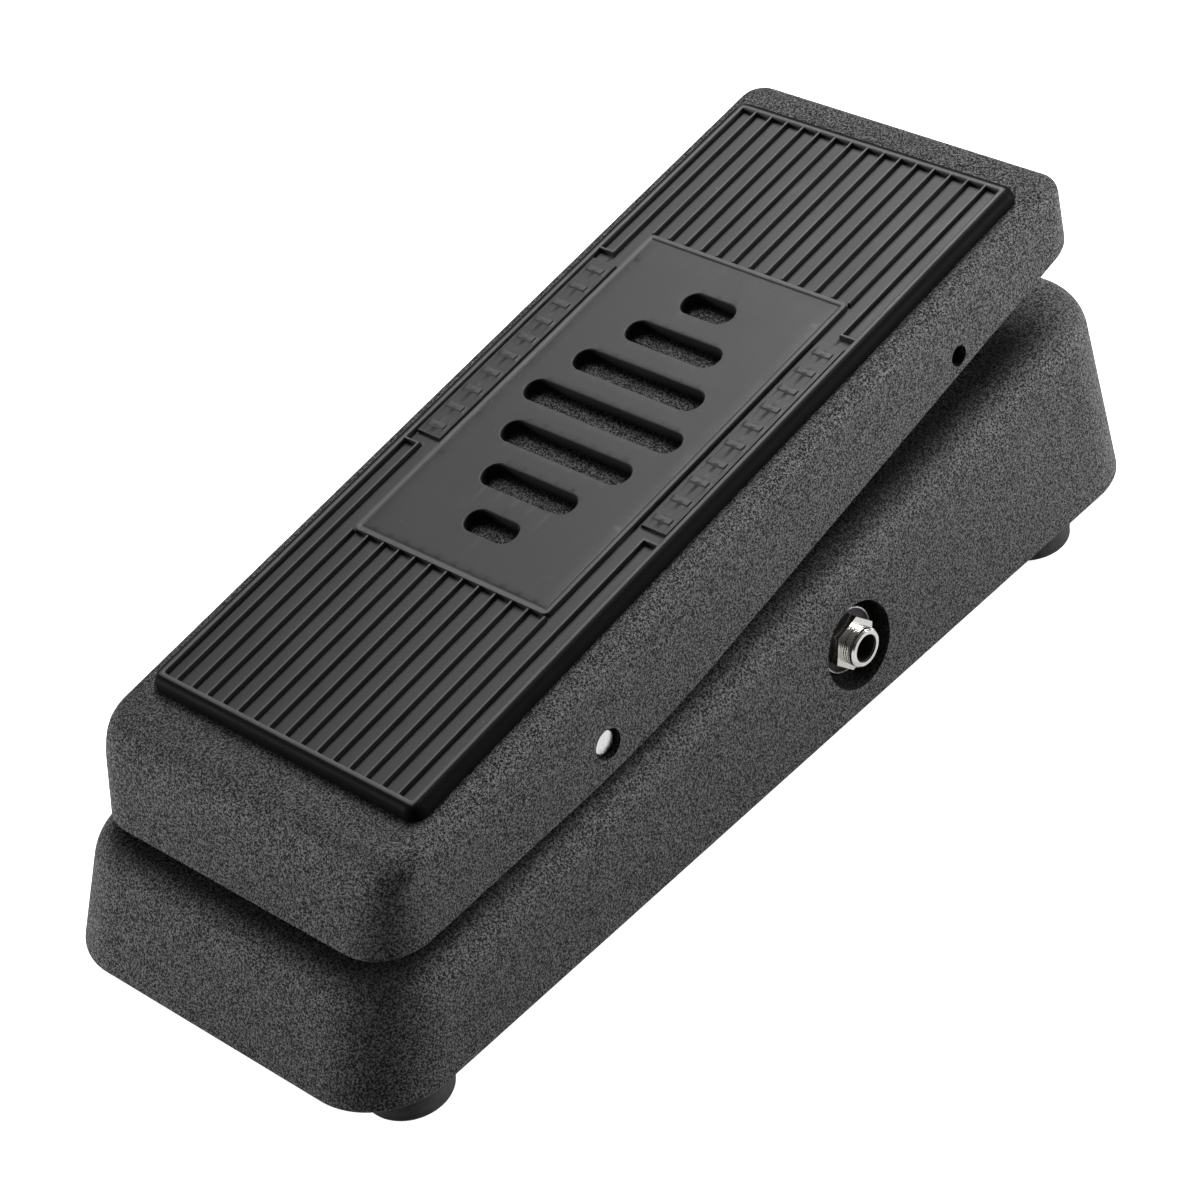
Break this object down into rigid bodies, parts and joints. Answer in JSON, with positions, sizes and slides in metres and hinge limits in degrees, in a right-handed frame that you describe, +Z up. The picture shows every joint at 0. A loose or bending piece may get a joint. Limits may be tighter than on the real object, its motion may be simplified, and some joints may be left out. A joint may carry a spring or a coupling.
{
  "type": "guitar effects pedal",
  "caption": "Rocker-type guitar effects pedal: wedge-shaped cast base, rocking treadle with ribbed rubber mat, rack-driven potentiometer, toe footswitch and side jack sockets.",
  "frame": {"origin": "on the floor at the centre of the footprint", "axes": "+X to the input socket side (player's right), +Y to the toe end, +Z up; treadle heel down"},
  "size_m": [0.1032, 0.2527, 0.0902],
  "materials": {
    "textured_paint": "black wrinkle powder coat, satin",
    "mat_rubber": "satin moulded rubber",
    "foot_rubber": "matte moulded rubber",
    "plated_steel": "bright nickel plate",
    "zinc_steel": "zinc plated steel",
    "plate_steel": "satin black painted sheet",
    "nylon": "natural nylon",
    "black_plastic": "moulded, fine matte",
    "board_green": "solder mask on glass laminate",
    "component_red": "dipped film capacitor",
    "component_dark": "sleeved and moulded components",
    "resistor_tan": "lacquered resistor bodies",
    "battery_case": "printed steel case without lettering",
    "wire_insulation": "coloured PVC insulation"
  },
  "bodies": {
    "base": {"base_casting": "textured_paint", "rubber_feet": "foot_rubber", "bottom_plate": "plate_steel", "foot_screws": "zinc_steel", "battery": "battery_case", "battery_clip": "black_plastic", "circuit_board": "board_green", "board_screws": "zinc_steel", "inductor": "component_dark", "film_capacitors": "component_red", "electrolytic_capacitors": "component_dark", "resistors": "resistor_tan", "transistors": "component_dark", "input_jack_body": "plated_steel", "input_jack_nut": "plated_steel", "input_jack_washer": "plated_steel", "output_jack_body": "plated_steel", "output_jack_nut": "plated_steel", "output_jack_washer": "plated_steel", "power_socket": "black_plastic", "footswitch_body": "zinc_steel", "footswitch_nut": "plated_steel", "footswitch_washer": "plated_steel", "pot_body": "zinc_steel", "pot_nut": "zinc_steel", "pot_bracket": "zinc_steel", "bracket_screws": "zinc_steel", "rack_guide": "nylon", "guide_screw": "zinc_steel", "pivot_bushings": "nylon", "wiring_battery": "wire_insulation", "wiring_signal": "wire_insulation"},
    "treadle_assembly": {"treadle": "textured_paint", "tread_mat": "mat_rubber", "pivot_shaft": "plated_steel", "rack_pin": "zinc_steel", "toe_pad": "foot_rubber", "heel_bumpers": "foot_rubber"},
    "rack_body": {"rack": "nylon"},
    "pot_rotor": {"pot_shaft": "zinc_steel", "pinion_gear": "nylon"},
    "plunger_body": {"footswitch_plunger": "plated_steel"},
    "battery_door": {"battery_cover": "black_plastic"}
  },
  "joints": [
    {"name": "treadle_pivot", "type": "hinge", "parent": "base", "child": "treadle_assembly", "pos_m": [0, -0.0447, 0.0462], "axis": [-1, 0, 0], "range_deg": [0, 5.8]},
    {"name": "rack_slide", "type": "slide", "parent": "base", "child": "rack_body", "axis": [0, 0, -1], "range_m": [0, 0.01232]},
    {"name": "pot_turn", "type": "hinge", "parent": "base", "child": "pot_rotor", "pos_m": [0, 0.0662, 0.0296], "axis": [-1, 0, 0], "range_deg": [0, 145.5]},
    {"name": "footswitch_press", "type": "slide", "parent": "base", "child": "plunger_body", "axis": [0, 0, -1], "range_m": [0, 0.003], "stiffness_N_per_m": 800},
    {"name": "battery_cover_release", "type": "slide", "parent": "base", "child": "battery_door", "axis": [0, 0, -1], "range_m": [0, 0.03]}
  ],
  "couplings": [
    {"joint": "rack_slide", "follows": "treadle_pivot", "m_per_rad": 0.11873},
    {"joint": "pot_turn", "follows": "treadle_pivot", "ratio": 24.736}
  ]
}
